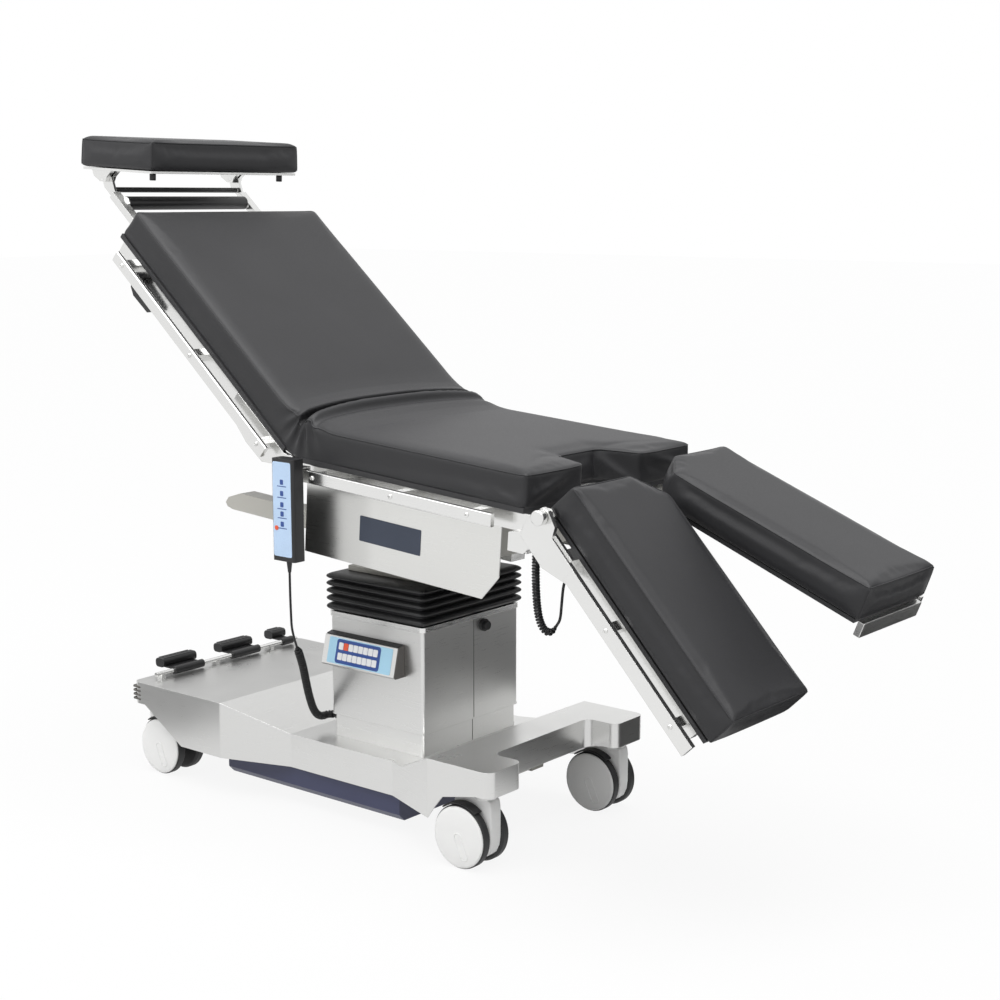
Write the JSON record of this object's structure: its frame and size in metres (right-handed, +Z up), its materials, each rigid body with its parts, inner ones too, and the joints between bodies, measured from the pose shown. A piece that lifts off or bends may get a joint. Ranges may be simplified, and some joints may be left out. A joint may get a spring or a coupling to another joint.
{
  "type": "operating table",
  "caption": "Mobile operating table with a lifting column, tilting seat, raised back and head sections, split leg sections, side rails, hand control and foot pedals.",
  "frame": {"origin": "on the floor under the lifting column's axis", "axes": "+X towards the foot end, +Y towards the far side, +Z up"},
  "size_m": [1.8146, 0.647, 1.3892],
  "materials": {
    "pad_vinyl": "satin",
    "pad_board": "satin",
    "stainless": "brushed",
    "frame_paint": "satin",
    "tub_paint": "satin",
    "black_plastic": "matte",
    "bellows_rubber": "matte",
    "keypad_blue": "satin",
    "caster_white": "satin",
    "caster_wheel": "matte",
    "cord_rubber": "matte"
  },
  "bodies": {
    "base": {"base_cover": "stainless", "underbody_tub": "tub_paint", "chassis_frame": "frame_paint", "pedal_shaft": "stainless", "column_foot": "stainless", "column_cover": "stainless", "column_collar": "stainless", "keypad_housing": "keypad_blue", "cord_inlet": "stainless", "column_socket": "black_plastic", "bellows": "bellows_rubber", "control_coil": "cord_rubber", "control_lead": "cord_rubber"},
    "lift": {"lift_column": "stainless", "tilt_yoke": "frame_paint"},
    "cardan": {"cardan_block": "frame_paint"},
    "slide": {"slide_frame": "frame_paint"},
    "seat": {"seat_pad": "pad_vinyl", "seat_plate": "pad_board", "seat_frame": "stainless", "seat_rail_near": "stainless", "seat_rail_far": "stainless", "side_panel_near": "stainless", "side_panel_far": "stainless", "housing_end": "stainless", "leg_brackets": "stainless", "hand_control": "black_plastic", "hand_control_hook": "stainless", "leg_cord_coil": "cord_rubber", "leg_cord_lead": "cord_rubber"},
    "back": {"back_pad": "pad_vinyl", "back_plate": "pad_board", "back_frame": "stainless", "back_rail_near": "stainless", "back_rail_far": "stainless", "head_bars": "stainless"},
    "head": {"head_pad": "pad_vinyl", "head_plate": "pad_board"},
    "lever": {"release_lever": "black_plastic"},
    "leg_near": {"leg_pad_near": "pad_vinyl", "leg_plate_near": "pad_board", "leg_arm_near": "stainless", "leg_rail_near": "stainless"},
    "knob_near": {"leg_knob_near": "stainless"},
    "leg_far": {"leg_pad_far": "pad_vinyl", "leg_plate_far": "pad_board", "leg_arm_far": "stainless", "leg_rail_far": "stainless"},
    "knob_far": {"leg_knob_far": "stainless"},
    "swivel_foot_near": {"caster_fork_foot_near": "caster_white"},
    "wheel_foot_near": {"caster_wheel_foot_near": "caster_wheel"},
    "swivel_foot_far": {"caster_fork_foot_far": "caster_white"},
    "wheel_foot_far": {"caster_wheel_foot_far": "caster_wheel"},
    "swivel_head_near": {"caster_fork_head_near": "caster_white"},
    "wheel_head_near": {"caster_wheel_head_near": "caster_wheel"},
    "swivel_head_far": {"caster_fork_head_far": "caster_white"},
    "wheel_head_far": {"caster_wheel_head_far": "caster_wheel"},
    "pedal_brake": {"pedal_brake": "black_plastic"},
    "pedal_up": {"pedal_up": "black_plastic"},
    "pedal_down": {"pedal_down": "black_plastic"}
  },
  "joints": [
    {"name": "lift", "type": "slide", "parent": "base", "child": "lift", "axis": [0, 0, 1], "range_m": [0, 0.2], "deforming": ["bellows", "control_coil", "control_lead"]},
    {"name": "lateral_tilt", "type": "hinge", "parent": "lift", "child": "cardan", "pos_m": [0, 0, 0.56], "axis": [1, 0, 0], "range_deg": [-12, 12]},
    {"name": "lengthwise_tilt", "type": "hinge", "parent": "cardan", "child": "slide", "pos_m": [0, 0, 0.56], "axis": [0, 1, 0], "range_deg": [-19.1, 10.9]},
    {"name": "lengthwise_shift", "type": "slide", "parent": "slide", "child": "seat", "axis": [0.9974, 0, -0.0715], "range_m": [-0.2, 0.05]},
    {"name": "back_hinge", "type": "hinge", "parent": "seat", "child": "back", "pos_m": [-0.11487, 0, 0.74769], "axis": [0, 1, 0], "range_deg": [-51.7, 23.3]},
    {"name": "head_hinge", "type": "hinge", "parent": "back", "child": "head", "pos_m": [-0.74814, 0, 1.2996], "axis": [0, 1, 0], "range_deg": [-10, 25]},
    {"name": "release_lever", "type": "hinge", "parent": "back", "child": "lever", "pos_m": [-0.55014, -0.27, 1.09434], "axis": [0, 1, 0], "range_deg": [-12, 0], "stiffness_Nm_per_rad": 4, "springref_deg": 8.59},
    {"name": "leg_hinge_near", "type": "hinge", "parent": "seat", "child": "leg_near", "pos_m": [0.53318, 0, 0.71127], "axis": [0, 1, 0], "range_deg": [-52.9, 47.1], "deforming": ["leg_cord_coil", "leg_cord_lead"]},
    {"name": "leg_knob_near", "type": "hinge", "parent": "leg_near", "child": "knob_near", "pos_m": [0.53318, -0.303, 0.71127], "axis": [0, 1, 0], "range_deg": [-90, 90]},
    {"name": "leg_hinge_far", "type": "hinge", "parent": "seat", "child": "leg_far", "pos_m": [0.53318, 0, 0.71127], "axis": [0, 1, 0], "range_deg": [-27.5, 72.5]},
    {"name": "leg_knob_far", "type": "hinge", "parent": "leg_far", "child": "knob_far", "pos_m": [0.53318, 0.303, 0.71127], "axis": [0, 1, 0], "range_deg": [-90, 90]},
    {"name": "swivel_foot_near", "type": "hinge", "parent": "base", "child": "swivel_foot_near", "pos_m": [0.336, -0.209, 0.15], "axis": [0, 0, 1], "continuous": true},
    {"name": "roll_foot_near", "type": "hinge", "parent": "swivel_foot_near", "child": "wheel_foot_near", "pos_m": [0.3, -0.209, 0.0625], "axis": [0, 1, 0], "continuous": true},
    {"name": "swivel_foot_far", "type": "hinge", "parent": "base", "child": "swivel_foot_far", "pos_m": [0.336, 0.209, 0.15], "axis": [0, 0, 1], "continuous": true},
    {"name": "roll_foot_far", "type": "hinge", "parent": "swivel_foot_far", "child": "wheel_foot_far", "pos_m": [0.3, 0.209, 0.0625], "axis": [0, 1, 0], "continuous": true},
    {"name": "swivel_head_near", "type": "hinge", "parent": "base", "child": "swivel_head_near", "pos_m": [-0.616, -0.192, 0.15], "axis": [0, 0, 1], "continuous": true},
    {"name": "roll_head_near", "type": "hinge", "parent": "swivel_head_near", "child": "wheel_head_near", "pos_m": [-0.58, -0.192, 0.0625], "axis": [0, 1, 0], "continuous": true},
    {"name": "swivel_head_far", "type": "hinge", "parent": "base", "child": "swivel_head_far", "pos_m": [-0.616, 0.192, 0.15], "axis": [0, 0, 1], "continuous": true},
    {"name": "roll_head_far", "type": "hinge", "parent": "swivel_head_far", "child": "wheel_head_far", "pos_m": [-0.58, 0.192, 0.0625], "axis": [0, 1, 0], "continuous": true},
    {"name": "pedal_brake", "type": "hinge", "parent": "base", "child": "pedal_brake", "pos_m": [-0.604, -0.122, 0.217], "axis": [0, 1, 0], "range_deg": [-8, 0], "stiffness_Nm_per_rad": 12, "springref_deg": 3.44},
    {"name": "pedal_up", "type": "hinge", "parent": "base", "child": "pedal_up", "pos_m": [-0.604, 0.05, 0.217], "axis": [0, 1, 0], "range_deg": [-8, 0], "stiffness_Nm_per_rad": 12, "springref_deg": 3.44},
    {"name": "pedal_down", "type": "hinge", "parent": "base", "child": "pedal_down", "pos_m": [-0.604, 0.184, 0.217], "axis": [0, 1, 0], "range_deg": [-8, 0], "stiffness_Nm_per_rad": 12, "springref_deg": 3.44}
  ]
}
